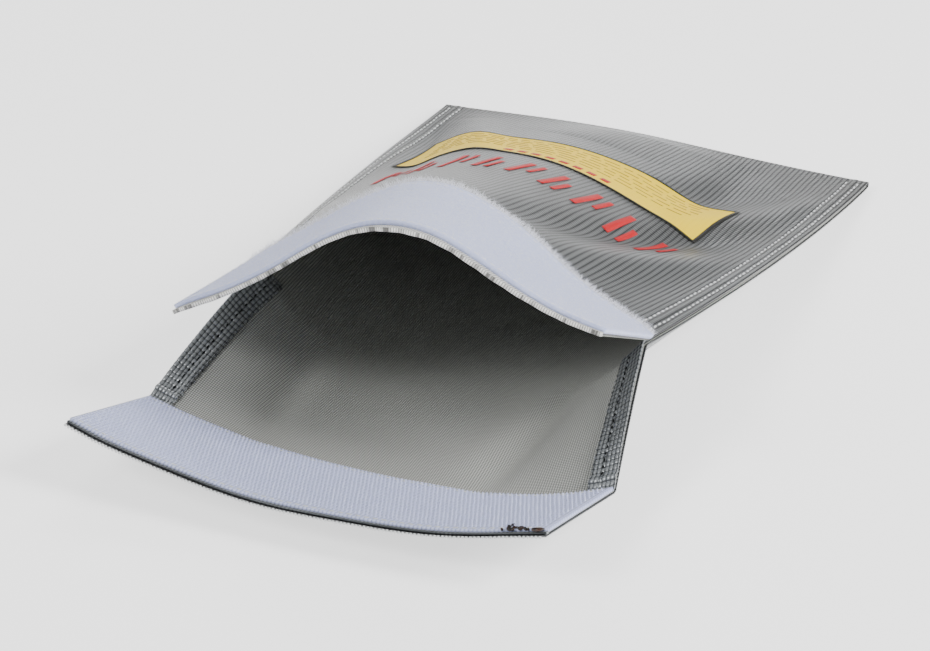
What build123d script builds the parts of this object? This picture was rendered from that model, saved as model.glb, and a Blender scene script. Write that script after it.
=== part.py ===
from build123d import *
import os
from math import cos, pi, radians, sin

# A fire-resistant soft pouch that lies open on its back.
# X runs across the bag, +Y towards its closed end, the mouth faces -Y, and +Z is up. Millimetres.
# The origin is on the flattened strip of the back cloth that the bag rests on, halfway along the pouch.
#
# Every cloth piece follows one of two wall surfaces. A point on a wall is given by its flat place:
# "along" is the distance from the closed end and "across" the distance from the middle line.

# ---- cut sizes of the cloth, measured flat ----
bag_width = 180.0
seam_length = 208.0
lip_length = 52.0
apron_length = 70.0
flap_length = 52.0

# ---- the open pose: heights and places of the leading lines ----
pouch_depth = 206.0
rest_flattening = 0.06
crown_height = 74.7
closed_crown_height = 3.6
left_seam_height = 30.5
right_seam_height = 35.0
closed_seam_height = 1.0
lip_crown_rise = 37.0
lip_left_height = 34.5
lip_right_height = 63.0
lip_left_x = -85.5
lip_right_x = 77.3
lip_reach = 47.0
crown_setback = 7.2
crease_reach = 60.0
crease_bow = 10.0
crease_half_width = 89.5
crease_clearance = 1.0
crease_left_height = 3.8
crease_right_height = 10.2
flap_edge_reach = 111.0
flap_edge_bow = 6.6
flap_left_x = -95.5
flap_right_x = 84.5
flap_edge_height = 21.5
flap_edge_sag = 9.8

# ---- layers ----
cloth_thickness = 0.5
lining_thickness = 0.4
layer_gap = 0.15
tape_thickness = 1.8
hem_thickness = 0.7
thread_thickness = 0.3
print_thickness = 0.2
beading_thickness = 0.9
seam_gap = 0.3

# ---- widths and margins ----
mouth_hem_width = 2.6
apron_hem_width = 9.5
thread_width = 0.6
seam_row_margin = 3.0
seam_row_spacing = 4.5
hem_row_margin = 5.5
tape_row_margin = 2.5
end_margin = 3.0
beading_width = 1.2
flap_joint_gap = 1.5
hook_tape_width = 48.0
fold_clearance = 0.2
fold_roundness = 0.6
fold_thickening = -0.5
edge_step = 0.4
lip_joint_gap = 5.0

# ---- printed panel and marks on the front, printed a little askew ----
panel_along = 82.5
panel_across = -7.0
panel_length = 40.0
panel_width = 132.0
panel_border_width = 1.2
print_turn = 4.0
marks_offset = 47.0
marks_shift = 5.6
mark_length = 25.0
mark_width = 8.5
mark_pitch = 14.6
mark_count = 9

half_width = bag_width / 2
seam_end_y = -pouch_depth / 2
front_lift = layer_gap + lining_thickness
trim_lift = front_lift + cloth_thickness + layer_gap
back_lining_lift = cloth_thickness + layer_gap
back_trim_lift = back_lining_lift + lining_thickness + layer_gap
seam_stack = back_lining_lift + lining_thickness + seam_gap
lip_along = seam_length + lip_length
crease_along = seam_length + apron_length
flap_along = crease_along + flap_length
smooth_rows = 15
smooth_columns = 25


def blend(a, b, share):
    return a + (b - a) * share


def seam_height(depth_share, side):
    mouth_height = blend(left_seam_height, right_seam_height, (side + 1) / 2)
    return blend(closed_seam_height, mouth_height, depth_share**1.14)


def crown(depth_share):
    return blend(closed_crown_height, crown_height, depth_share**1.06)


def half_chord(depth_share):
    """Half the width of the arched wall: the arch takes up some of the cloth's flat width."""
    rise = crown(depth_share) - seam_height(depth_share, 0)
    return half_width - 4 * rise**2 / (3 * bag_width)


def arch(depth_share, side):
    """Height profile across the pouch, 0 at both seams and about 1 at its ridge.
    The ridge runs from the middle of the mouth to the left half of the closed end."""
    mouth = 1 - 0.28 * side - 1.15 * side**2 + 0.16 * side**3 + 0.9 * side**4
    closed_end = 1 - 1.1 * side - 0.85 * side**2
    return (1 - side**2) * blend(closed_end, mouth, depth_share)


def lip_arch(side):
    return (1 - side**2) * (1 + 0.09 * side - 1.33 * side**2 - 0.17 * side**3 + 0.79 * side**4)


def pouch_front(depth_share, side):
    low = seam_height(depth_share, side) + seam_stack
    height = blend(low, crown(depth_share), arch(depth_share, side))
    y = seam_end_y + pouch_depth * (1 - depth_share) + crown_setback * depth_share * (1 - side**2)
    return Vector(half_chord(depth_share) * side, y, height)


def mouth_edge(side):
    x = blend(lip_left_x, lip_right_x, (side + 1) / 2)
    ends = blend(lip_left_height, lip_right_height, (side + 1) / 2)
    return Vector(x, seam_end_y - lip_reach, ends + lip_crown_rise * lip_arch(side))


def front_wall(along, across):
    side = across / half_width
    if along <= seam_length:
        return pouch_front(along / seam_length, side)
    share = (along - seam_length) / lip_length
    return pouch_front(1, side) + (mouth_edge(side) - pouch_front(1, side)) * share


def trough(depth_share, side):
    """The back wall of the pouch: flat in the middle, raised to the seams at its sides."""
    y = seam_end_y + pouch_depth * (1 - depth_share)
    height = seam_height(depth_share, side) * abs(side) ** 3 - rest_flattening
    return Vector(half_chord(depth_share) * side, y, height)


def crease_line(side):
    ends = blend(crease_left_height, crease_right_height, (side + 1) / 2)
    y = seam_end_y - crease_reach - crease_bow * (1 - side**2)
    return Vector(crease_half_width * side, y, crease_clearance + ends * abs(side) ** 3)


def flap_edge(side):
    x = blend(flap_left_x, flap_right_x, (side + 1) / 2)
    y = seam_end_y - flap_edge_reach - flap_edge_bow * (1 - side**2)
    return Vector(x, y, flap_edge_height - flap_edge_sag * (1 - side**2))


def back_wall(along, across):
    side = across / half_width
    if along <= seam_length:
        return trough(along / seam_length, side)
    if along <= crease_along:
        share = (along - seam_length) / apron_length
        start, end = trough(1, side), crease_line(side)
        place = start + (end - start) * share
        return Vector(place.X, place.Y, blend(start.Z, end.Z, share**1.3))
    share = (along - crease_along) / flap_length
    return crease_line(side) + (flap_edge(side) - crease_line(side)) * share


def wall_point(wall, along, across, lift):
    """A point on a wall, lifted off it along the wall's own normal."""
    step = 0.05
    down = wall(along + step, across) - wall(along - step, across)
    over = wall(along, across + step) - wall(along, across - step)
    return wall(along, across) + over.cross(down).normalized() * -lift


def wall_patch(wall, middle, size, lift, turn=0.0):
    """One smooth face over a rectangle of a wall: middle and size are (along, across), turn is in degrees."""
    rows = []
    for i in range(smooth_rows):
        down = size[0] * (i / (smooth_rows - 1) - 0.5)
        row = []
        for j in range(smooth_columns):
            over = size[1] * (j / (smooth_columns - 1) - 0.5)
            along = middle[0] + down * cos(radians(turn)) + over * sin(radians(turn))
            across = middle[1] + over * cos(radians(turn)) - down * sin(radians(turn))
            row.append(wall_point(wall, along, across, lift))
        rows.append(row)
    return Face.make_surface_from_array_of_points(rows)


def wall_face(wall, near, far, left, right, lift):
    """The face between two distances along a wall and two distances across it."""
    return wall_patch(wall, ((near + far) / 2, (left + right) / 2), (far - near, right - left), lift)


def finish(piece, name):
    piece.part.label = name
    export_step(piece.part, f"parts/{name}.step")
    return piece.part


os.makedirs("parts", exist_ok=True)

# ---- the pouch's two walls, each an outer cloth and a lining ----
with BuildPart() as front_cloth:
    thicken(wall_face(front_wall, edge_step, seam_length, -half_width, half_width, front_lift), cloth_thickness)
finish(front_cloth, "front_cloth")

with BuildPart() as front_lining:
    thicken(wall_face(front_wall, edge_step, seam_length, -half_width, half_width, 0), lining_thickness)
finish(front_lining, "front_lining")

apron_end = crease_along - flap_joint_gap
with BuildPart() as back_cloth:
    thicken(wall_face(back_wall, edge_step, seam_length, -half_width, half_width, 0), cloth_thickness)
    split(bisect_by=Plane.XY, keep=Keep.TOP)
finish(back_cloth, "back_cloth")

with BuildPart() as back_lining:
    thicken(wall_face(back_wall, edge_step, seam_length, -half_width, half_width, back_lining_lift), lining_thickness)
finish(back_lining, "back_lining")

with BuildPart() as apron_cloth:
    thicken(wall_face(back_wall, seam_length + edge_step, apron_end, -half_width, half_width, 0), cloth_thickness)
    split(bisect_by=Plane.XY, keep=Keep.TOP)
finish(apron_cloth, "apron_cloth")

with BuildPart() as apron_lining:
    thicken(
        wall_face(back_wall, seam_length + edge_step, apron_end, -half_width, half_width, back_lining_lift),
        lining_thickness,
    )
finish(apron_lining, "apron_lining")


def fold_face():
    """The rounded turn of the outer cloth at the closed end, from under the back to over the front."""
    rows = []
    for i in range(smooth_rows):
        turn = pi * i / (smooth_rows - 1)
        row = []
        for j in range(smooth_columns):
            side = 2 * j / (smooth_columns - 1) - 1
            low = trough(0, side)
            high = pouch_front(0, side).Z + front_lift + cloth_thickness
            radius = (high - low.Z) / 2
            y = low.Y + fold_clearance + fold_roundness * radius * sin(turn)
            row.append(Vector(low.X, y, low.Z + radius * (1 - cos(turn))))
        rows.append(row)
    return Face.make_surface_from_array_of_points(rows)


with BuildPart() as closed_end_fold:
    thicken(fold_face(), fold_thickening)
    split(bisect_by=Plane.XY, keep=Keep.TOP)
finish(closed_end_fold, "closed_end_fold")

# ---- the free lip of the front wall, with the loop tape on its outside ----
lip_start = seam_length + lip_joint_gap
lip_end = lip_along - mouth_hem_width
with BuildPart() as lip_cloth:
    thicken(wall_face(front_wall, lip_start, lip_end, -half_width, half_width, front_lift), cloth_thickness)
finish(lip_cloth, "lip_cloth")

with BuildPart() as lip_lining:
    thicken(wall_face(front_wall, lip_start, lip_end, -half_width, half_width, 0), lining_thickness)
finish(lip_lining, "lip_lining")

with BuildPart() as mouth_hem:
    thicken(
        wall_face(front_wall, lip_end + layer_gap, lip_along, -half_width, half_width, 0),
        front_lift + cloth_thickness,
    )
finish(mouth_hem, "mouth_hem")

with BuildPart() as loop_tape:
    thicken(wall_face(front_wall, lip_start, lip_end, -half_width, half_width, trim_lift), tape_thickness)
finish(loop_tape, "loop_tape")

tape_top = trim_lift + tape_thickness + layer_gap
row_reach = half_width - end_margin
with BuildPart() as loop_tape_stitching:
    for near in (lip_start + tape_row_margin, lip_end - tape_row_margin - thread_width):
        thicken(wall_face(front_wall, near, near + thread_width, -row_reach, row_reach, tape_top), thread_thickness)
finish(loop_tape_stitching, "loop_tape_stitching")

# ---- the flap beyond the crease, with the hook tape on its inner face ----
flap_start = crease_along + flap_joint_gap
flap_end = flap_along - beading_width
with BuildPart() as flap_cloth:
    thicken(wall_face(back_wall, flap_start, flap_end, -half_width, half_width, 0), cloth_thickness)
finish(flap_cloth, "flap_cloth")

with BuildPart() as flap_lining:
    thicken(
        wall_face(back_wall, flap_start, flap_end, -half_width, half_width, back_lining_lift), lining_thickness
    )
finish(flap_lining, "flap_lining")

with BuildPart() as flap_beading:
    thicken(
        wall_face(back_wall, flap_end + layer_gap, flap_along, -half_width, half_width, 0), beading_thickness
    )
finish(flap_beading, "flap_beading")

with BuildPart() as hook_tape:
    thicken(
        wall_face(back_wall, flap_start, flap_start + hook_tape_width, -half_width, half_width, back_trim_lift),
        tape_thickness,
    )
finish(hook_tape, "hook_tape")

hook_top = back_trim_lift + tape_thickness + layer_gap
with BuildPart() as hook_tape_stitching:
    for near in (flap_start + tape_row_margin, flap_start + hook_tape_width - tape_row_margin - thread_width):
        thicken(wall_face(back_wall, near, near + thread_width, -row_reach, row_reach, hook_top), thread_thickness)
finish(hook_tape_stitching, "hook_tape_stitching")

# ---- side hems of the apron, and the sewing of hems and side seams ----
hem_top = back_trim_lift + hem_thickness + layer_gap
for name, hand in (("left", -1), ("right", 1)):
    edges = sorted([hand * half_width, hand * (half_width - apron_hem_width)])
    with BuildPart() as apron_hem:
        thicken(
            wall_face(back_wall, seam_length + edge_step, apron_end, edges[0], edges[1], back_trim_lift),
            hem_thickness,
        )
    finish(apron_hem, f"{name}_apron_hem")

    row = hand * (half_width - hem_row_margin)
    with BuildPart() as hem_stitching:
        thicken(
            wall_face(
                back_wall,
                seam_length + end_margin,
                apron_end - end_margin,
                row - thread_width / 2,
                row + thread_width / 2,
                hem_top,
            ),
            thread_thickness,
        )
    finish(hem_stitching, f"{name}_hem_stitching")

    with BuildPart() as seam_stitching:
        for margin in (seam_row_margin, seam_row_margin + seam_row_spacing):
            row = hand * (half_width - margin)
            thicken(
                wall_face(
                    front_wall,
                    end_margin,
                    seam_length - end_margin,
                    row - thread_width / 2,
                    row + thread_width / 2,
                    trim_lift,
                ),
                thread_thickness,
            )
    finish(seam_stitching, f"{name}_seam_stitching")

# ---- the printed films on the front wall ----
inner_panel = (panel_length - 2 * panel_border_width, panel_width - 2 * panel_border_width)
panel_middle = (panel_along, panel_across)
with BuildPart() as printed_panel:
    size = (inner_panel[0] - 2 * layer_gap, inner_panel[1] - 2 * layer_gap)
    thicken(wall_patch(front_wall, panel_middle, size, trim_lift, print_turn), print_thickness)
finish(printed_panel, "printed_panel")


def print_place(down, over):
    """The flat place of a point given from the panel's middle, in the print's own turned directions."""
    return (
        panel_along + down * cos(radians(print_turn)) + over * sin(radians(print_turn)),
        panel_across + over * cos(radians(print_turn)) - down * sin(radians(print_turn)),
    )


with BuildPart() as printed_border:
    for end in (-1, 1):
        long_side = print_place(end * (panel_length - panel_border_width) / 2, 0)
        size = (panel_border_width, panel_width)
        thicken(wall_patch(front_wall, long_side, size, trim_lift, print_turn), print_thickness)
        short_side = print_place(0, end * (panel_width - panel_border_width) / 2)
        size = (inner_panel[0] - 2 * layer_gap, panel_border_width)
        thicken(wall_patch(front_wall, short_side, size, trim_lift, print_turn), print_thickness)
finish(printed_border, "printed_border")

with BuildPart() as printed_marks:
    for i in range(mark_count):
        middle = print_place(marks_offset, marks_shift + (i - (mark_count - 1) / 2) * mark_pitch)
        size = (mark_length, mark_width)
        thicken(wall_patch(front_wall, middle, size, trim_lift, print_turn), print_thickness)
finish(printed_marks, "printed_marks")
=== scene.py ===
# %% [markdown]
# # A fire-resistant pouch, lying open
#
# The real thing is a flat envelope of silver-coated woven glass cloth, lined with a finer grey glass
# cloth. It lies on its back with its mouth pushed open. The front wall arches up, its free lip carries a
# loop tape, and the back wall runs on as an apron and a flap with a hook tape.
#
# Everything here is cloth, so nearly every piece is a grid laid flat in the cutting sizes and then bent
# onto one of two wall surfaces. The walls repeat the formulas of the CAD model, so every layer lands in
# the space that the model holds for it.

# %% Load the frame
import random
from math import cos, exp, hypot, pi, radians, sin

import bmesh
import bpy
from mathutils import Matrix, Vector


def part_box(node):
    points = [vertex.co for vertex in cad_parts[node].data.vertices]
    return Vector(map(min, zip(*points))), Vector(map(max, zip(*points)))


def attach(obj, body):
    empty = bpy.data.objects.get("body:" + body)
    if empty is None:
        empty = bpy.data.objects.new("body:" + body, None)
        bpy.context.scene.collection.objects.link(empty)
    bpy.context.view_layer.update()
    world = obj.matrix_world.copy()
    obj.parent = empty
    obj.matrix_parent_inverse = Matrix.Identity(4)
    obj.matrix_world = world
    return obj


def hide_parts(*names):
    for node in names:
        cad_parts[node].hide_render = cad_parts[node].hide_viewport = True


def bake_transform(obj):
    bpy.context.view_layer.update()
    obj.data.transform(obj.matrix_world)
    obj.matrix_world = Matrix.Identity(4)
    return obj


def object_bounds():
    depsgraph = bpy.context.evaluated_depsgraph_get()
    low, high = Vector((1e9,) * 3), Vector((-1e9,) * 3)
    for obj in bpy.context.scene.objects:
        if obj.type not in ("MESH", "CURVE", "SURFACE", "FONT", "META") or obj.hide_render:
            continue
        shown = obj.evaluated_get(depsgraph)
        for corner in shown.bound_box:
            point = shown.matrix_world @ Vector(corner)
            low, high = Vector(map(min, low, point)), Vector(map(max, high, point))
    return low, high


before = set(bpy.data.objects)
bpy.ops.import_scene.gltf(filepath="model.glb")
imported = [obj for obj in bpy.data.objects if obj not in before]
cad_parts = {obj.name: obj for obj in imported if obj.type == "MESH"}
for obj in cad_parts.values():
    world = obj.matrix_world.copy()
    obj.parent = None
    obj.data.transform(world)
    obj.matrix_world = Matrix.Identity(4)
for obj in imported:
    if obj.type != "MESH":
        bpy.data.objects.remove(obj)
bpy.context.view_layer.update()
MM = 0.001

# %% [markdown]
# ## The two walls
#
# A place on a wall is "along", the distance from the closed end, and "across", the distance from the
# middle line, both in millimetres of flat cloth. The sizes are the model's own driving sizes. Cloth is
# never as even as a formula, so soft ridges and hollows are added to the CAD surface: a long dent beside
# the printed panel, pulls from the corners, and the two slanting folds where the apron turns up.

# %% Sizes of the bag, in millimetres
bag_width = 180.0
half_width = bag_width / 2
seam_length = 208.0
lip_along = seam_length + 52.0
crease_along = seam_length + 70.0
flap_along = crease_along + 52.0
pouch_depth = 206.0
seam_end_y = -pouch_depth / 2
crown_height, closed_crown_height = 74.7, 3.6
left_seam_height, right_seam_height, closed_seam_height = 30.5, 35.0, 1.0
rest_flattening = 0.06
crown_setback = 7.2
lip_crown_rise, lip_left_height, lip_right_height = 37.0, 34.5, 63.0
lip_left_x, lip_right_x, lip_reach = -85.5, 77.3, 47.0
crease_reach, crease_bow, crease_half_width = 60.0, 10.0, 89.5
crease_clearance, crease_left_height, crease_right_height = 1.0, 3.8, 10.2
flap_edge_reach, flap_edge_bow = 111.0, 6.6
flap_left_x, flap_right_x, flap_edge_height, flap_edge_sag = -95.5, 84.5, 21.5, 9.8

cloth = 0.5
lining = 0.4
gap = 0.15
tape = 1.8
seam_stack = cloth + gap + lining + 0.3
front_lift = lining + gap
top_lift = front_lift + cloth
back_lining_lift = cloth + gap
back_top_lift = back_lining_lift + lining

bag_low, bag_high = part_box("back_cloth")
print("pouch depth in the model, mm:", round((bag_high.y - bag_low.y) / MM, 1))


# %% [markdown]
# The front wall is an arch that opens towards the mouth and goes on as the free lip. The back wall is a
# shallow trough that goes on as the apron and, past the crease, as the flap. Each could be a sculpted mesh,
# but a formula keeps every layer parallel to its neighbours.


# %% Wall surfaces
def blend(a, b, share):
    return a + (b - a) * share


def seam_height(depth, side):
    at_mouth = blend(left_seam_height, right_seam_height, (side + 1) / 2)
    return blend(closed_seam_height, at_mouth, max(depth, 0.0) ** 1.14)


def crown(depth):
    return blend(closed_crown_height, crown_height, max(depth, 0.0) ** 1.06)


def half_chord(depth):
    rise = crown(depth) - seam_height(depth, 0)
    return half_width - 4 * rise**2 / (3 * bag_width)


def arch(depth, side):
    mouth = 1 - 0.28 * side - 1.15 * side**2 + 0.16 * side**3 + 0.9 * side**4
    closed_end = 1 - 1.1 * side - 0.85 * side**2
    return (1 - side**2) * blend(closed_end, mouth, depth)


def pouch_front(depth, side):
    low = seam_height(depth, side) + seam_stack
    height = blend(low, crown(depth), arch(depth, side))
    y = seam_end_y + pouch_depth * (1 - depth) + crown_setback * depth * (1 - side**2)
    return Vector((half_chord(depth) * side, y, height))


def mouth_edge(side):
    x = blend(lip_left_x, lip_right_x, (side + 1) / 2)
    ends = blend(lip_left_height, lip_right_height, (side + 1) / 2)
    rise = (1 - side**2) * (1 + 0.09 * side - 1.33 * side**2 - 0.17 * side**3 + 0.79 * side**4)
    return Vector((x, seam_end_y - lip_reach, ends + lip_crown_rise * rise))


def front_base(along, across):
    side = across / half_width
    if along <= seam_length:
        return pouch_front(along / seam_length, side)
    share = (along - seam_length) / (lip_along - seam_length)
    return pouch_front(1, side).lerp(mouth_edge(side), share)


def trough(depth, side):
    y = seam_end_y + pouch_depth * (1 - depth)
    height = seam_height(depth, side) * abs(side) ** 3 - rest_flattening
    return Vector((half_chord(depth) * side, y, height))


def crease_line(side):
    ends = blend(crease_left_height, crease_right_height, (side + 1) / 2)
    y = seam_end_y - crease_reach - crease_bow * (1 - side**2)
    return Vector((crease_half_width * side, y, crease_clearance + ends * abs(side) ** 3))


def flap_edge(side):
    x = blend(flap_left_x, flap_right_x, (side + 1) / 2)
    y = seam_end_y - flap_edge_reach - flap_edge_bow * (1 - side**2)
    return Vector((x, y, flap_edge_height - flap_edge_sag * (1 - side**2)))


def back_base(along, across):
    side = across / half_width
    if along <= seam_length:
        return trough(along / seam_length, side)
    if along <= crease_along:
        share = (along - seam_length) / (crease_along - seam_length)
        place = trough(1, side).lerp(crease_line(side), share)
        place.z = blend(trough(1, side).z, crease_line(side).z, share**1.3)
        return place
    share = (along - crease_along) / (flap_along - crease_along)
    return crease_line(side).lerp(flap_edge(side), share)


# %% [markdown]
# Coated glass cloth keeps the creases it was packed with. A noise texture could push the surface about, but
# real creases run in lines from corners and sewn ends, so each is a soft ridge along a line. A row gives its
# two ends as (along, across), then its width and its height.


# %% Soft ridges and hollows of the cloth
def ridge(along, across, start, end, width, height):
    """A soft ridge (or a hollow, where height is negative) along the line from start to end."""
    dx, dy = end[0] - start[0], end[1] - start[1]
    share = ((along - start[0]) * dx + (across - start[1]) * dy) / (dx * dx + dy * dy)
    share = min(max(share, 0.0), 1.0)
    away = hypot(along - start[0] - share * dx, across - start[1] - share * dy)
    return height * exp(-((away / width) ** 2)) * (1 - 0.7 * abs(2 * share - 1) ** 3)


front_ridges = [
    ((116, 76), (206, 36), 9, 2.6),
    ((92, 66), (200, 16), 8, -2.8),
    ((24, 84), (104, 50), 10, 2.2),
    ((30, 62), (80, 30), 12, -2.2),
    ((26, -84), (128, -58), 9, -3.0),
    ((16, -70), (110, -34), 10, 2.4),
    ((-6, 0), (40, -10), 26, 2.2),
    ((10, 44), (70, 44), 9, -1.6),
    ((150, -80), (206, -46), 8, 1.8),
    ((140, -20), (206, 8), 10, -0.9),
    ((208, 30), (258, 20), 9, 0.8),
    ((210, -52), (258, -44), 9, -0.8),
]
back_ridges = [
    ((200, 60), (276, 42), 6, -2.4),
    ((206, 46), (276, 24), 8, 1.0),
    ((204, -58), (276, -44), 7, -2.0),
    ((215, 70), (262, 66), 8, 1.2),
    ((214, -72), (262, -66), 8, 1.0),
    ((120, 0), (180, 30), 18, 0.4),
]
corner_pull = 4.0


def edge_fade(along, across):
    """1 in the field of a panel, falling to 0 at its sewn sides and at the closed end."""
    sides = min(1.0, (half_width - abs(across)) / 14)
    return max(0.0, sides) * min(1.0, max(0.0, (along + 4) / 16))


def pulled(place, along, across):
    """Draws the left corner of the closed end in a little, as its sewing does."""
    place.y -= corner_pull * exp(-(((across + half_width) / 42) ** 2)) * max(0.0, 1 - along / 70)
    return place


def front_wall(along, across):
    place = pulled(front_base(along, across), along, across)
    rise = sum(ridge(along, across, *line) for line in front_ridges)
    place.z += rise * edge_fade(along, across)
    return place


def back_wall(along, across):
    place = pulled(back_base(along, across), along, across)
    rise = sum(ridge(along, across, *line) for line in back_ridges)
    if along > crease_along:
        rise += 0.35 * sin(across / 11.0) * min(1.0, (along - crease_along) / 30)
    place.z = max(place.z + max(rise * edge_fade(along, across), -place.z * 0.9), place.z * 0.1)
    return place


def on_wall(wall, along, across, lift):
    """A point in metres, lifted off a wall along the wall's own normal, with that normal and two tangents."""
    step = 0.4
    down = wall(along + step, across) - wall(along - step, across)
    over = wall(along, across + step) - wall(along, across - step)
    up = down.cross(over).normalized()
    return (wall(along, across) + up * lift) * MM, up, over.normalized(), down.normalized()


print("mouth crown, mm:", [round(v, 1) for v in front_wall(lip_along, 0)])

# %% [markdown]
# ## Making a sheet
#
# A sheet starts as a flat bmesh grid. Its UV map keeps the flat place of every point in metres, which is
# what the weave follows, and then each vertex moves to its place on the wall. A Solidify modifier gives it
# its real thickness. Bending a grid by formula was chosen over a cloth simulation, because the bag holds a
# set shape: stiff coated cloth that stands up on its own, not fabric that falls.


# %% Helpers for sheets
def merge(whole, part):
    """Adds one bmesh to another. Many small shapes are made in short runs, because that is much faster."""
    mesh = bpy.data.meshes.new("run")
    part.to_mesh(mesh)
    part.free()
    whole.from_mesh(mesh)
    bpy.data.meshes.remove(mesh)


def new_piece(name, bm, material):
    mesh = bpy.data.meshes.new(name)
    bm.to_mesh(mesh)
    bm.free()
    piece = bpy.data.objects.new(name, mesh)
    bpy.context.scene.collection.objects.link(piece)
    mesh.materials.append(material)
    return piece


def smooth(piece):
    for polygon in piece.data.polygons:
        polygon.use_smooth = True


def wall_sheet(
    name, wall, span, reach, lift, thickness, material, cell=2.0, shape=None, turn=0.0, relief=None
):
    """A sheet over span = (near, far) along and reach = (left, right) across a wall.
    shape moves a flat place before it is bent, relief lifts it further, turn is in degrees."""
    bm = bmesh.new()
    columns = max(2, round((reach[1] - reach[0]) / cell))
    rows = max(1, round((span[1] - span[0]) / cell))
    bmesh.ops.create_grid(bm, x_segments=columns, y_segments=rows, size=0.5)
    layer = bm.loops.layers.uv.new("flat")
    middle = ((span[0] + span[1]) / 2, (reach[0] + reach[1]) / 2)
    flat = {}
    for vert in bm.verts:
        down = -vert.co.y * (span[1] - span[0])
        over = vert.co.x * (reach[1] - reach[0])
        along = middle[0] + down * cos(radians(turn)) + over * sin(radians(turn))
        across = middle[1] + over * cos(radians(turn)) - down * sin(radians(turn))
        if shape:
            along, across = shape(along, across)
        flat[vert] = (along, across)
    for face in bm.faces:
        for loop in face.loops:
            along, across = flat[loop.vert]
            loop[layer].uv = (across * MM, along * MM)
    for vert, (along, across) in flat.items():
        raised = lift + relief(along, across) if relief else lift
        vert.co = on_wall(wall, along, across, raised)[0]
    piece = new_piece(name, bm, material)
    smooth(piece)
    solidify = piece.modifiers.new("thickness", "SOLIDIFY")
    solidify.thickness = thickness * MM
    solidify.offset = 1.0
    return piece


# %% [markdown]
# Cloth has no pin to turn on, so each fold is given a band. The flap's band runs from 50 to 82 mm past the
# seam ends, and the lip's from 12 mm before them to 26 mm past. A piece that lies wholly past its band rides
# on the moving part, and one that reaches into it stays where it is.

# %% Joining a piece to the parts
bend_zones = {
    "flap": ((0, (seam_end_y - 50) * MM, 0), (0, (seam_end_y - 82) * MM, 0)),
    "lip": ((0, (seam_end_y + 12) * MM, 0), (0, (seam_end_y - 26) * MM, 0)),
}


def fit(piece, part, slot, *nodes):
    """Joins a finished piece to the parts: it rides if it lies wholly past a bend, or else stays in place."""
    start, end = bend_zones.get(part, (None, None))
    if start is None or max(vertex.co.y for vertex in piece.data.vertices) < end[1]:
        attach(piece, part)
    else:
        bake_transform(piece)
    if nodes:
        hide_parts(*nodes)


# %% [markdown]
# ## Finishes
#
# Each finish starts from the real material. One function adds a node with its settings and links, and one
# turns an sRGB hex colour into the linear colour that the shader wants. The weaves are drawn from sine
# waves on the flat map, so their pitch is given in millimetres of cloth.


# %% Helpers for materials
def linear(code):
    """The linear colour of an sRGB hex code."""
    parts = [int(code[i : i + 2], 16) / 255 for i in (1, 3, 5)]
    lit = [c / 12.92 if c <= 0.04045 else ((c + 0.055) / 1.055) ** 2.4 for c in parts]
    return (*lit, 1.0)


def add(tree, kind, inputs, output=0, **settings):
    """Adds a node and returns one of its outputs. inputs pairs a socket with a value or another output."""
    node = tree.nodes.new("ShaderNode" + kind)
    for key, value in settings.items():
        setattr(node, key, value)
    for socket, value in inputs.items():
        if isinstance(value, bpy.types.NodeSocket):
            tree.links.new(value, node.inputs[socket])
        else:
            node.inputs[socket].default_value = value
    return node.outputs[output]


def new_material(name, roughness, metallic=0.0, sheen=0.0, specular=0.5, colour="#CCCCCC"):
    """A material with constants on its shader, and its node tree."""
    material = bpy.data.materials.new(name)
    material.use_nodes = True
    sockets = material.node_tree.nodes["Principled BSDF"].inputs
    sockets["Base Color"].default_value = linear(colour)
    sockets["Roughness"].default_value = roughness
    sockets["Metallic"].default_value = metallic
    sockets["Sheen Weight"].default_value = sheen
    sockets["Specular IOR Level"].default_value = specular
    return material, material.node_tree


def between(tree, value, low, high, first, last):
    """A colour that runs from first to last while value runs from low to high."""
    share = add(tree, "MapRange", {"Value": value, "From Min": low, "From Max": high})
    return add(tree, "Mix", {0: share, 6: first, 7: last}, output=2, data_type="RGBA")


def weave(tree, across_pitch, along_pitch, fill):
    """Two heights from the flat map: the domes of the yarns, and which yarn is on top.
    The yarns wander by a fraction of their pitch, as woven ones do."""
    flat = add(tree, "UVMap", {}, uv_map="flat")
    drift = add(tree, "TexNoise", {"Vector": flat, "Scale": 60.0, "Detail": 2.0}, output="Color")
    wander = add(tree, "VectorMath", {0: drift, 1: (0.0004, 0.0004, 0.0)}, operation="MULTIPLY")
    moved = add(tree, "VectorMath", {0: flat, 1: wander}, operation="ADD")
    waves = []
    for axis, pitch in ((0, across_pitch), (1, along_pitch)):
        place = add(tree, "SeparateXYZ", {0: moved}, output=axis)
        turns = add(tree, "Math", {0: place, 1: pi / (pitch * MM)}, operation="MULTIPLY")
        waves.append(add(tree, "Math", {0: turns}, operation="SINE"))
    both = add(tree, "Math", {0: waves[0], 1: waves[1]}, operation="MULTIPLY")
    size = add(tree, "Math", {0: both}, operation="ABSOLUTE")
    return add(tree, "Math", {0: size, 1: fill}, operation="POWER"), both


def cover(tree, colour, height, depth):
    """Gives a finish its colour and a relief that is depth millimetres high."""
    sockets = tree.nodes["Principled BSDF"].inputs
    tree.links.new(colour, sockets["Base Color"])
    relief = add(tree, "Bump", {"Height": height, "Distance": depth * MM})
    tree.links.new(relief, sockets["Normal"])


# %% [markdown]
# ### Silver-coated glass cloth
#
# Flat glass yarns in a plain weave, coated on the outside with an aluminium-filled film. Each yarn crossing
# stands up as a small rounded cell about 2.0 by 1.4 mm, with painted shade darkening the gap around it, and
# the film gives a soft metallic gloss that goes pale where the arch faces the light.

# %% Silver cloth, for the outside and for its turned-in edges
outer_cell = (2.0, 1.4)
hem_cell = (1.45, 2.3)


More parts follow.
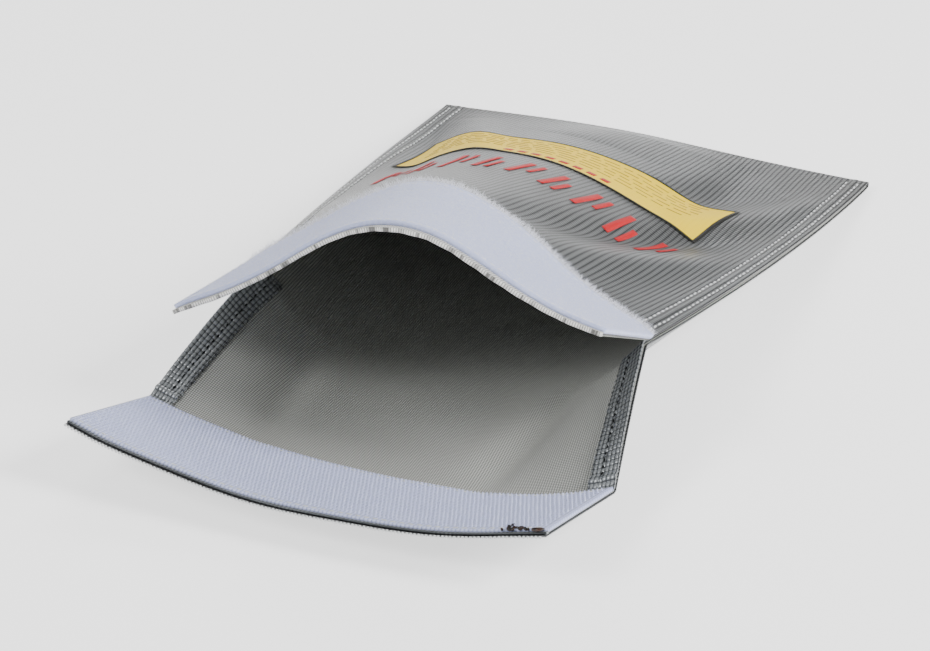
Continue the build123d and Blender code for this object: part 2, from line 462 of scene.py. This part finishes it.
def silver_cloth(name, pale, gap_shade, roughness, cell, depth):
    material, tree = new_material(name, roughness, metallic=0.5, specular=0.4)
    place = add(tree, "TexCoord", {}, output="Object")
    domes, both = weave(tree, *cell, fill=0.6)
    # Dark in the grooves between the cells and pale on their tops: the dark is painted shade, not the
    # coating's colour.
    body = between(tree, domes, 0.15, 0.85, linear(gap_shade), linear(pale))
    stain = add(tree, "TexNoise", {"Vector": place, "Scale": 14.0, "Detail": 3.0})
    shade = between(tree, stain, 0.3, 0.7, (0.66, 0.64, 0.62, 1.0), (1.0, 1.0, 1.0, 1.0))
    sockets = {0: 1.0, 6: body, 7: shade}
    colour = add(tree, "Mix", sockets, output=2, data_type="RGBA", blend_type="MULTIPLY")
    top_yarn = add(tree, "Math", {0: both, 1: 0.25}, operation="MULTIPLY")
    lift = add(tree, "Math", {0: domes, 1: top_yarn}, operation="ADD")
    speck = add(tree, "TexNoise", {"Vector": place, "Scale": 1600.0, "Detail": 2.0})
    grain = add(tree, "Math", {0: speck, 1: 0.08}, operation="MULTIPLY")
    cover(tree, colour, add(tree, "Math", {0: lift, 1: grain}, operation="ADD"), depth)
    return material


silver = silver_cloth("silver_coated_glass_cloth", "#8C8F90", "#1E1F21", 0.33, outer_cell, 0.16)
silver_turned = silver_cloth("silver_cloth_turned_edge", "#B0B5B8", "#45484B", 0.32, hem_cell, 0.1)

# %% [markdown]
# ### Grey glass lining
#
# A finer plain weave of uncoated glass yarn, in cells of 0.9 mm. Glass yarn is pale and slightly glossy, and
# the colour runs grey in the gaps between the yarns as painted shade, so the weave reads as rows of light
# points on grey, a little soiled in patches.

# %% Lining
glass_lining, tree = new_material("woven_glass_lining", 0.5, sheen=0.12, specular=0.35)
domes, both = weave(tree, 0.9, 0.9, fill=0.7)
# Pale on the yarns and grey in the gaps between them: the grey is painted shade.
clean_with_gap_shade = between(tree, domes, 0.2, 0.95, linear("#5F605D"), linear("#CDCFC9"))
place = add(tree, "TexCoord", {}, output="Object")
patch = add(tree, "TexNoise", {"Vector": place, "Scale": 14.0, "Detail": 3.0})
soiled = between(tree, patch, 0.35, 0.7, linear("#9A9B96"), clean_with_gap_shade)
body = add(tree, "Mix", {0: 0.75, 6: soiled, 7: clean_with_gap_shade}, output=2, data_type="RGBA")
cover(tree, body, domes, 0.16)

# %% [markdown]
# ### Hook and loop tapes
#
# Both tapes are nylon. The loop side is brushed into a soft pile, so it is matt with a pale rim where its
# fibres catch the light. The hook side is a woven ground with rows of stiff hooks, a little glossier, and its
# colour is darker between the rows as painted shade. Both have the faint violet-blue of optical whitener.

# %% Tape finishes
loop_pile, tree = new_material("brushed_nylon_loop", 0.95, sheen=0.6, specular=0.1)
place = add(tree, "TexCoord", {}, output="Object")
sockets = {"Vector": place, "Scale": 900.0, "Detail": 5.0, "Roughness": 0.7}
pile = add(tree, "TexNoise", sockets)
clumps = add(tree, "TexNoise", {"Vector": place, "Scale": 120.0, "Detail": 3.0})
body = between(tree, pile, 0.3, 0.7, linear("#B4BEF0"), linear("#E0E7FF"))
colour = between(tree, clumps, 0.3, 0.75, body, linear("#C9D2FA"))
mounds = add(tree, "Math", {0: clumps, 1: 0.8}, operation="MULTIPLY")
cover(tree, colour, add(tree, "Math", {0: pile, 1: mounds}, operation="ADD"), 0.5)

fibre, tree = new_material("nylon_fibre", 0.6, sheen=0.3, specular=0.4, colour="#F0F1FA")

hook_ground, tree = new_material("woven_nylon_hook_ground", 0.55, sheen=0.2, specular=0.4)
domes, both = weave(tree, 1.5, 1.6, fill=0.6)
# Pale on the ribs and darker between the rows: the dark is painted shade.
cover(tree, between(tree, domes, 0.05, 0.8, linear("#9CA5D6"), linear("#D2D9FA")), domes, 0.3)

hook_nylon, tree = new_material("moulded_nylon_hooks", 0.4, colour="#D6DCFA")

# %% [markdown]
# ### Thread, woven edge, print and the melted corner
#
# The thread is a pale grey twisted polyester. The woven edge is the cream raw selvedge of the glass cloth.
# The print is a thin layer of ink, so the cloth's cells still show through it as bumps. The corner of the
# flap was sealed with heat, which leaves brown and black melted nylon.

# %% Small finishes
# Matt near-black: painted shade for the stitch pits of the hems, not a colour of the cloth or thread.
pit_shade, tree = new_material("stitch_pit_shade", 0.9, specular=0.1, colour="#18191A")

thread, tree = new_material("polyester_thread", 0.5, sheen=0.2)
place = add(tree, "TexCoord", {}, output="Object")
twist = add(tree, "TexNoise", {"Vector": place, "Scale": 3000.0, "Detail": 1.0})
sockets = {0: twist, 6: linear("#B4B7B9"), 7: linear("#F2F3F3")}
body = add(tree, "Mix", sockets, output=2, data_type="RGBA")
tree.links.new(body, tree.nodes["Principled BSDF"].inputs["Base Color"])

selvedge, tree = new_material("woven_glass_selvedge", 0.55, sheen=0.15)
domes, both = weave(tree, 1.0, 0.8, fill=0.6)
# Cream on the yarns and dark in the gaps between them: the dark is painted shade.
cover(tree, between(tree, domes, 0.1, 0.8, linear("#5E5D5A"), linear("#F2F1EC")), domes, 0.25)


def ink(name, colour, faded):
    """Screen-printed ink: even colour, thinned where it bridges the gaps of the weave."""
    material, tree = new_material(name, 0.5, specular=0.25)
    domes, both = weave(tree, *outer_cell, fill=0.45)
    gaps = add(tree, "MapRange", {"Value": domes, "From Min": 0.4, "From Max": 0.0})
    thin = add(tree, "Math", {0: gaps, 1: 0.5}, operation="MULTIPLY")
    sockets = {0: thin, 6: linear(colour), 7: linear(faded)}
    cover(tree, add(tree, "Mix", sockets, output=2, data_type="RGBA"), domes, 0.08)
    return material


yellow_ink = ink("yellow_ink", "#FFDA00", "#F5C400")
black_ink = ink("black_ink", "#20201D", "#33332E")
red_ink = ink("red_ink", "#C40F1C", "#8E1A22")
olive_ink = ink("olive_ink", "#C09A10", "#D0AA20")

scorched, tree = new_material("melted_nylon", 0.35)
place = add(tree, "TexCoord", {}, output="Object")
burn = add(tree, "TexNoise", {"Vector": place, "Scale": 500.0, "Detail": 4.0})
cover(tree, between(tree, burn, 0.4, 0.6, linear("#0B0706"), linear("#3A2216")), burn, 0.5)
print("materials:", len(bpy.data.materials))

# %% [markdown]
# ## The cloth walls
#
# The outer cloth is one piece that runs from the lip over the front, round the closed end, along the back
# and out to the flap. A piece can bend across one joint only, so it is two meshes that meet under the
# closed end. Linings follow the same walls one layer further in.


# %% Front wall with the fold at the closed end
fold_length = 9.0       # the stretch of the grid that is rolled into the fold, longer than the fold's own arc
full_width = (-half_width, half_width)


def front_with_fold(along, across):
    if along >= 0:
        return front_wall(along, across)
    side = across / half_width
    top, low = front_wall(0, across), back_wall(0, across)
    inner_low = low.z + cloth + front_lift
    radius = (top.z - inner_low) / 2
    turn = -along / fold_length * pi
    return Vector((low.x, top.y + 0.9 * radius * sin(turn), top.z - radius * (1 - cos(turn))))


seam_margins = (3.0, 7.5)       # the two stitch rows, from the edge
row_gap_middle = 5.2
seam_pitch = 3.4


def pucker(along, across):
    """The cloth dips at each stitch row and swells between the rows."""
    raised = 0.0
    if 0 < along < seam_length:
        inset = half_width - abs(across)
        for margin in seam_margins:
            dip = 0.25 + 0.15 * cos(2 * pi * along / seam_pitch)
            raised -= dip * exp(-(((inset - margin) / 0.9) ** 2))
        raised += 0.3 * exp(-(((inset - row_gap_middle) / 1.6) ** 2))
    return raised


outer_front = wall_sheet(
    "outer_front_cloth", front_with_fold, (-fold_length, lip_along - 2.6), full_width,
    front_lift, cloth, silver, cell=1.3, relief=pucker,
)
front_inner = wall_sheet(
    "front_lining_cloth", front_wall, (0.6, lip_along - 1.2), (-half_width + 0.4, half_width - 0.4),
    0.0, lining, glass_lining,
)
print("front cloth points:", len(outer_front.data.vertices))

# %% [markdown]
# The back cloth reaches from the closed end to the flap's edge in one length. Its lining stops just past the
# crease, where a separate strip lines the flap up to its dark margin. Each could be cut from one mesh, but
# separate sheets give the lining its own bend and its own edge.

# %% Back wall, apron and flap
lining_end = crease_along + 4
lining_reach = (-half_width + 0.5, half_width - 0.5)
outer_back = wall_sheet(
    "outer_back_cloth", back_wall, (0.2, flap_along - 0.6), full_width,
    0.0, cloth, silver, cell=1.8,
)
back_inner = wall_sheet(
    "back_lining_cloth", back_wall, (0.6, lining_end), lining_reach,
    back_lining_lift, lining, glass_lining,
)
flap_inner = wall_sheet(
    "flap_lining_cloth", back_wall, (lining_end + 0.3, flap_along - 3.6), lining_reach,
    back_lining_lift, lining, glass_lining,
)

# %% [markdown]
# ## Hems
#
# The mouth edge of the lip is a narrow woven band, a little wavy where the cloth has slackened. On each
# side of the apron the outer cloth is folded in over the lining as a hem 9.5 mm wide, with a raw inner
# edge, and the flap ends in a raised beaded selvedge.


# %% Mouth hem
def wavy(along, across):
    if along > lip_along - 1.6:
        along += 0.3 * sin(across / 1.7) + 0.55 * sin(across / 6.7 + 1.0)
    return along, across


mouth_hem = wall_sheet(
    "mouth_hem_band", front_wall, (lip_along - 3.0, lip_along - 0.2), full_width,
    -0.1, top_lift + 0.5, selvedge, cell=0.9, shape=wavy,
)

# %% [markdown]
# On the real bag the needle draws the turned-in cloth down at every stitch, and the coated cells stand up
# between. A displacement texture could do it, but the cells here are part of the grid, so the hem's edge and
# its pits are true in outline. At the flap's end the turned cloth leaves a dark margin.

# %% Apron hems and the flap's edges
hem_width = 9.5
hem_stitch_margin = 5.5
hem_stitch_pitch = 3.1


def cells(along, across):
    """Raised rectangles of the coated weave, pits at the stitches and a small gather at the crease."""
    raised = 0.38 * abs(sin(pi * across / hem_cell[0]) * sin(pi * along / hem_cell[1])) ** 0.5
    off_row = (abs(across) - (half_width - hem_stitch_margin)) / 0.8
    raised -= 0.5 * exp(-(off_row**2)) * (0.55 + 0.45 * cos(2 * pi * along / hem_stitch_pitch))
    to_crease = crease_along - 2.5 - along
    return raised + 0.8 * exp(-(((to_crease - 3) / 1.3) ** 2)) + 0.12 * sin(along / 4.0)


def ragged(hand):
    inner = hand * (half_width - hem_width)

    def shape(along, across):
        if abs(across) < half_width - hem_width + 0.4:
            across = inner + hand * 0.25 * sin(along * 1.9) + hand * 0.15 * sin(along * 4.3)
        return along, across

    return shape


hems = {}
for name, hand in (("left", -1), ("right", 1)):
    reach = sorted((hand * half_width, hand * (half_width - hem_width)))
    hems[name] = wall_sheet(
        f"{name}_apron_hem_fold", back_wall, (seam_length - 6, crease_along - 0.5), reach,
        back_top_lift + gap, 0.7, silver_turned, cell=0.36, shape=ragged(hand), relief=cells,
    )
flap_margin = wall_sheet(
    "flap_margin_fold", back_wall, (flap_along - 3.0, flap_along - 1.3), full_width,
    back_lining_lift, 0.9, silver_turned, cell=1.0,
)
print("hems:", sorted(hems))

# %% [markdown]
# ## Tapes
#
# The loop tape is a slab with a pile: thousands of short bent fibres stand on it, and longer ones hang over
# its far edge where the brushing has pulled them out. The hook tape carries rows of small stiff hooks. Each
# fibre is a bent ribbon of two faces and each hook a short stalk, because there are thousands of them.

# %% Tape slabs
loop_start, loop_end = seam_length - 1.0, lip_along - 2.8
hook_start, hook_end = crease_along + 1.0, flap_along - 2.6
hook_ground_thickness = 1.3


def pile_edge(along, across):
    if along < loop_start + 0.6:
        along += 0.5 * sin(across / 2.3) + 0.4 * sin(across / 5.9 + 2)
    return along, across


loop_slab = wall_sheet(
    "loop_tape_pile", front_wall, (loop_start, loop_end), (-half_width - 0.2, half_width + 0.2),
    top_lift + 0.1, tape, loop_pile, cell=1.5, shape=pile_edge,
)
hook_slab = wall_sheet(
    "hook_tape_ground", back_wall, (hook_start, hook_end), full_width,
    back_top_lift + 0.1, hook_ground_thickness, hook_ground, cell=1.5,
)


# %% [markdown]
# Loop pile is a felt of fine nylon filaments. Hair would leave no mesh behind to export, so each fibre is a
# narrow ribbon that stands on the tape, leans its own way and bends half way up. Its faces are made by hand,
# because no operator makes a ribbon with a pointed, bent tip.


# %% Pile fibres
def fibres(name, count, place, length, width, spread, seed):
    """Bent ribbons of two faces each, standing on the loop tape at flat places given by place()."""
    random.seed(seed)
    bm = bmesh.new()
    for _ in range(count):
        along, across, lean = place()
        root, up, over, down = on_wall(front_wall, along, across, top_lift + tape - 0.1)
        heading = random.uniform(0, 2 * pi)
        sideways = over * cos(heading) + down * sin(heading)
        way = (up + sideways * random.uniform(0.2, spread) + down * lean).normalized()
        bend = sideways * random.uniform(0.2, 0.9) + up * random.uniform(-0.5, 0.2)
        reach = random.uniform(*length) * MM
        middle = root + way * reach * 0.5
        tip = middle + (way + bend).normalized() * reach * 0.5
        half = up.cross(way).normalized() * width * MM / 2
        corners = [bm.verts.new(p) for p in (root - half, root + half, middle - half, middle + half, tip)]
        bm.faces.new((corners[0], corners[1], corners[3], corners[2]))
        bm.faces.new((corners[2], corners[3], corners[4]))
    return new_piece(name, bm, fibre)


def on_tape():
    return random.uniform(loop_start + 0.5, loop_end - 0.5), random.uniform(-half_width, half_width), 0.0


def on_far_edge():
    across = random.uniform(-half_width, half_width)
    return loop_start + abs(random.gauss(0, 0.9)), across, -random.uniform(0.8, 2.2)


pile_top = fibres("loop_tape_fibres", 9000, on_tape, (0.6, 1.3), 0.10, 1.6, seed=11)
pile_rim = fibres("loop_tape_edge_fibres", 3400, on_far_edge, (1.0, 4.0), 0.1, 1.2, seed=12)
print("fibres:", len(pile_top.data.polygons) // 2 + len(pile_rim.data.polygons) // 2)

# %% [markdown]
# The hooks are moulded in staggered rows. A real hook curls over, but at this size only its stub shows, so
# each is a short cone that leans a little. The rows are made one at a time and merged, which is much faster.

# %% Hooks
random.seed(13)
bm = bmesh.new()
hook_pitch_along, hook_pitch_across = 1.6, 1.5
hook_length, hook_width, hook_height = 0.75, 0.4, 0.7
rows = int((hook_end - hook_start - 2) / hook_pitch_along)
columns = int((bag_width - 2) / hook_pitch_across)
for i in range(rows):
    row = bmesh.new()
    for j in range(columns):
        along = hook_start + 1.2 + i * hook_pitch_along
        across = -half_width + 1.3 + (j + 0.5 * (i % 2)) * hook_pitch_across
        across += random.uniform(-0.12, 0.12)
        root, up, over, down = on_wall(back_wall, along, across, back_top_lift + 1.35)
        turn = Matrix((over, down * -1, up)).transposed().to_4x4()
        turn.translation = root + up * 0.25 * MM
        lean = Matrix.Rotation(random.uniform(-0.5, 0.5), 4, "X")
        size = Matrix.Diagonal((hook_length * MM, hook_width * MM, hook_height * MM, 1))
        bmesh.ops.create_cone(
            row, cap_ends=True, segments=5, radius1=0.5, radius2=0.32, depth=1.0,
            matrix=turn @ lean @ size,
        )
    merge(bm, row)
hooks = new_piece("hook_tape_hooks", bm, hook_nylon)
print("hooks:", rows * columns)

# %% [markdown]
# ## Sewing
#
# Lock stitches show as a row of short fat dashes lying half sunk in the cloth, on both faces of the bag. A
# curve could follow the thread, but only the dashes show, so one low sphere is stretched along the row for
# each stitch. The pitches are a judgement: 3.4 mm on the seams and 3.1 mm on the hems.


# %% Stitch rows
def stitch_row(bm, wall, places, heading, lift, length, radius):
    """Stitches at flat places; heading is "along" or "across", radius and length in millimetres."""
    row = bmesh.new()
    for along, across in places:
        middle, up, over, down = on_wall(wall, along, across, lift)
        way = down if heading == "along" else over
        turn = Matrix((way, up.cross(way), up)).transposed().to_4x4()
        turn.translation = middle
        yaw = Matrix.Rotation(random.uniform(-0.12, 0.12), 4, "Z")
        size = Matrix.Diagonal((length / 2 * MM, radius * MM, radius * MM, 1))
        bmesh.ops.create_uvsphere(row, u_segments=6, v_segments=4, radius=1.0, matrix=turn @ yaw @ size)
    merge(bm, row)


def row_along(near, far, across, pitch):
    count = int((far - near) / pitch)
    return [(near + (i + 0.5) * pitch, across + random.uniform(-0.15, 0.15)) for i in range(count)]


def row_across(left, right, along, pitch):
    count = int((right - left) / pitch)
    return [(along + random.uniform(-0.1, 0.1), left + (i + 0.5) * pitch) for i in range(count)]


random.seed(21)
row_inset = 3
seam_rows, hem_pit_shade_rows = {}, {}
for name, hand in (("left", -1), ("right", 1)):
    bm = bmesh.new()
    for margin in seam_margins:
        across = hand * (half_width - margin)
        places = row_along(row_inset, seam_length - row_inset, across, seam_pitch)
        stitch_row(bm, front_wall, places, "along", top_lift - 0.02, 2.6, 0.42)
        places = row_along(row_inset, seam_length - row_inset, across, seam_pitch)
        stitch_row(bm, back_wall, places, "along", 0.2, 2.5, 0.3)
    seam_rows[name] = new_piece(f"{name}_seam_stitches", bm, thread)
    smooth(seam_rows[name])
    # The hem's stitches are drawn near-black, as painted shade in the pits that the needle pulls down.
    bm = bmesh.new()
    across = hand * (half_width - hem_stitch_margin)
    places = row_along(seam_length + 1, crease_along - 3, across, hem_stitch_pitch)
    stitch_row(bm, back_wall, places, "along", back_top_lift + gap + 0.75, 1.8, 0.3)
    hem_pit_shade_rows[name] = new_piece(f"{name}_hem_stitch_pit_shade", bm, pit_shade)
    smooth(hem_pit_shade_rows[name])

tape_row = (-half_width + 2, half_width - 2)
tape_pitch = 3.2
bm = bmesh.new()
for along in (loop_start + 3.0, loop_end - 2.5):
    places = row_across(*tape_row, along, tape_pitch)
    stitch_row(bm, front_wall, places, "across", top_lift + tape + 0.05, 2.4, 0.26)
loop_rows = new_piece("loop_tape_stitches", bm, fibre)
bm = bmesh.new()
for along in (hook_start + 2.0, hook_end - 1.4):
    places = row_across(*tape_row, along, tape_pitch)
    stitch_row(bm, back_wall, places, "across", back_top_lift + 1.45, 2.4, 0.3)
    places = row_across(*tape_row, along, tape_pitch)
    stitch_row(bm, back_wall, places, "across", -0.05, 2.4, 0.26)
hook_rows = new_piece("hook_tape_stitches", bm, thread)
smooth(loop_rows)
smooth(hook_rows)
print("stitches on the left seam:", len(seam_rows["left"].data.polygons) // 24)

# %% [markdown]
# The flap ends in a small beaded edge, perhaps overlocked thread. It is one more row of the same short
# spheres, fatter and closer together.

# %% Beaded selvedge of the flap
bm = bmesh.new()
beads = row_across(-half_width, half_width, flap_along + 0.2, 1.4)
stitch_row(bm, back_wall, beads, "across", 0.3, 1.1, 0.55)
beading = new_piece("flap_edge_beading", bm, thread)
smooth(beading)
print("beads:", len(beads))

# %% [markdown]
# ## Print
#
# The front carries a yellow panel with a thin black border, a row of large red marks and small lines of
# text on the real bag. All lettering is left out: plain bars stand for it. Each print is a very thin sheet
# just above the cloth, bent on the same wall.

# %% Panel, border and marks
panel_middle, panel_size, print_turn = (82.5, -7.0), (40.0, 132.0), 4.0
print_lift, over_print_lift = top_lift + 0.2, top_lift + 0.3
film = 0.06
border_width = 1.6
text_middle = 5.6       # the marks' middle, across from the panel's
mark_count, mark_pitch, mark_down = 9, 14.6, 47.0


def print_sheet(name, down, over, size, material, lift=print_lift):
    """A printed patch; down and over are measured from the panel's middle in its own turned directions."""
    along = panel_middle[0] + down * cos(radians(print_turn)) + over * sin(radians(print_turn))
    across = panel_middle[1] + over * cos(radians(print_turn)) - down * sin(radians(print_turn))
    span = (along - size[0] / 2, along + size[0] / 2)
    reach = (across - size[1] / 2, across + size[1] / 2)
    return wall_sheet(name, front_wall, span, reach, lift, film, material, cell=1.3, turn=print_turn)


def joined(name, pieces):
    """Several sheets as one piece."""
    bm = bmesh.new()
    for piece in pieces:
        bm.from_mesh(piece.data)
    material = pieces[0].data.materials[0]
    for piece in pieces:
        bpy.data.objects.remove(piece)
    whole = new_piece(name, bm, material)
    smooth(whole)
    solidify = whole.modifiers.new("thickness", "SOLIDIFY")
    solidify.thickness = film * MM
    solidify.offset = 1.0
    return whole


yellow_panel = print_sheet("yellow_panel_print", 0, 0, panel_size, yellow_ink)
border = []
for end in (-1, 1):
    down, over = end * panel_size[0] / 2, end * panel_size[1] / 2
    long_side, short_side = (border_width, panel_size[1] + border_width), (panel_size[0], border_width)
    border.append(print_sheet("b", down, 0, long_side, black_ink, over_print_lift))
    border.append(print_sheet("b", 0, over, short_side, black_ink, over_print_lift))
black_border = joined("black_border_print", border)

marks = []
for i in range(mark_count):
    over = text_middle + (i - mark_count // 2) * mark_pitch
    shift = 4.0 if i % 2 else -4.0
    marks.append(print_sheet("m", mark_down, over - 2.6, (24.6, 2.8), red_ink))
    marks.append(print_sheet("m", mark_down + shift, over + 2.6, (16.0, 2.2), red_ink))
red_marks = joined("red_bar_marks", marks)

# %% [markdown]
# Fine bars stand for the small print, and a short row of red squares for its heading. Their lengths vary as
# words do. The lines end short of the border on both sides.

# %% Small print
random.seed(31)
lines = []
for row in range(6):
    at = -14 + row * 4.2
    start = -58.0
    while start < 56:
        length = random.uniform(3.0, 9.0)
        bar = (0.8, length)
        lines.append(print_sheet("t", at, start + length / 2, bar, olive_ink, over_print_lift))
        start += length + 1.8
text_lines = joined("small_print_lines", lines)
red_line = []
for i in range(8):
    red_line.append(print_sheet("r", 14.5, -18 + i * 6.0, (3.4, 3.6), red_ink, over_print_lift))
red_heading = joined("red_heading_bars", red_line)
print("bars of small print:", len(lines))

# %% [markdown]
# ## The heat-sealed corner
#
# The right outer corner of the flap is melted into small hard lumps that thin out along the edge.
# Icospheres are flattened and roughened, which is how molten nylon sets.

# %% Melted corner
random.seed(41)
bm = bmesh.new()
lumps = [(flap_along - 1.6, half_width - 2.8, 2.4)]
for i in range(26):
    spread = random.random()
    along = flap_along - 1.5 - 8 * spread**2 * random.random()
    lumps.append((along, half_width - 1.5 - 14 * spread, random.uniform(0.3, 1.0)))
for along, across, size in lumps:
    middle, up, over, down = on_wall(back_wall, along, across, back_top_lift + 1.5)
    turn = Matrix((over, down * -1, up)).transposed().to_4x4()
    turn.translation = middle
    squeeze = Matrix.Diagonal((size * MM, size * 0.6 * MM, 0.6 * MM, 1))
    made = bmesh.ops.create_icosphere(bm, subdivisions=2, radius=1.0, matrix=turn @ squeeze)
    for vert in made["verts"]:
        vert.co += Vector((random.gauss(0, 0.1), random.gauss(0, 0.1), random.gauss(0, 0.07))) * MM
melted = new_piece("melted_flap_corner", bm, scorched)
smooth(melted)
print("lumps:", len(lumps))

# %% [markdown]
# ## Joining the pieces to the moving parts
#
# The flap folds at the crease and the lip bends at the seam ends. A layer that lies wholly past one of those
# stretches rides on its part, and one that reaches into it stays where it is. Each piece also names the CAD
# nodes that it stands for, and these are hidden.

# %% Ride or stay, and replace
fit(outer_front, "lip", "silver_cloth", "front_cloth", "lip_cloth", "closed_end_fold")
fit(front_inner, "lip", "glass_lining", "front_lining", "lip_lining")
fit(outer_back, "flap", "silver_cloth", "back_cloth", "apron_cloth", "flap_cloth")
fit(back_inner, "flap", "glass_lining", "back_lining", "apron_lining")
fit(flap_inner, "flap", "glass_lining", "flap_lining")
fit(mouth_hem, "lip", "woven_edge", "mouth_hem")
fit(loop_slab, "lip", "loop_tape", "loop_tape")
fit(pile_top, "lip", "loop_tape")
fit(pile_rim, "lip", "loop_tape")
fit(loop_rows, "lip", "thread", "loop_tape_stitching")
fit(hook_slab, "flap", "hook_tape", "hook_tape")
fit(hooks, "flap", "hook_tape")
fit(hook_rows, "flap", "thread", "hook_tape_stitching")
fit(beading, "flap", "woven_edge", "flap_beading")
fit(melted, "flap", "hook_tape")
fit(flap_margin, "flap", "silver_cloth")
for name in ("left", "right"):
    fit(hems[name], "flap", "silver_cloth", f"{name}_apron_hem")
    fit(seam_rows[name], "pouch", "thread", f"{name}_seam_stitching")
    fit(hem_pit_shade_rows[name], "flap", "thread", f"{name}_hem_stitching")
fit(yellow_panel, "pouch", "yellow_print", "printed_panel")
fit(black_border, "pouch", "black_print", "printed_border")
fit(red_marks, "pouch", "red_print", "printed_marks")
fit(text_lines, "pouch", "black_print")
fit(red_heading, "pouch", "red_print")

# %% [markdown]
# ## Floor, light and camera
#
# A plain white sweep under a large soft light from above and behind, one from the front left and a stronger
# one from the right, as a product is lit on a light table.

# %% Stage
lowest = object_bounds()[0][2]
floor_mesh = bmesh.new()
bmesh.ops.create_grid(floor_mesh, x_segments=1, y_segments=1, size=6.0)
floor_paint, tree = new_material("white_light_table", 0.9, specular=0.1, colour="#F6F6F6")
sockets = tree.nodes["Principled BSDF"].inputs
sockets["Emission Color"].default_value = linear("#FFFFFF")
sockets["Emission Strength"].default_value = 1.2
floor = new_piece("floor", floor_mesh, floor_paint)
floor.location.z = lowest - 0.00005

world = bpy.data.worlds.new("soft_studio")
world.use_nodes = True
world.node_tree.nodes["Background"].inputs[0].default_value = (1.0, 1.0, 1.0, 1.0)
world.node_tree.nodes["Background"].inputs[1].default_value = 0.32
bpy.context.scene.world = world


def soft_box(name, place, target, size, power):
    light = bpy.data.lights.new(name, "AREA")
    light.shape = "RECTANGLE"
    light.size, light.size_y = size
    light.energy = power
    lamp = bpy.data.objects.new(name, light)
    lamp.location = place
    lamp.rotation_euler = (Vector(target) - Vector(place)).to_track_quat("-Z", "Y").to_euler()
    bpy.context.scene.collection.objects.link(lamp)


soft_box("back_top_light", (-0.5, 1.4, 1.0), (0, 0, 0.03), (0.9, 0.4), 12)
soft_box("left_light", (-0.9, -1.1, 1.1), (0, 0, 0.03), (0.6, 0.6), 17)
soft_box("right_light", (1.3, 0.1, 0.9), (0, 0, 0.03), (0.45, 0.8), 32)

# %% [markdown]
# The camera looks down on the bag from the mouth's side through a long lens, so that the bag's own lines
# stay nearly parallel. It stands still: the poses move the parts, not the view.

# %% Camera
azimuth, elevation = radians(23.707), radians(29.576)
camera = bpy.data.cameras.new("camera")
camera.sensor_width = 36.0
camera.lens = 36.0 * 4045.0 / 930.0
eye = bpy.data.objects.new("camera", camera)
eye.location = Vector((512.8, -1254.8, 740.6)) * MM
eye.rotation_euler = (pi / 2 - elevation, 0.0, azimuth)
bpy.context.scene.collection.objects.link(eye)
bpy.context.scene.camera = eye
camera.clip_end = 20.0
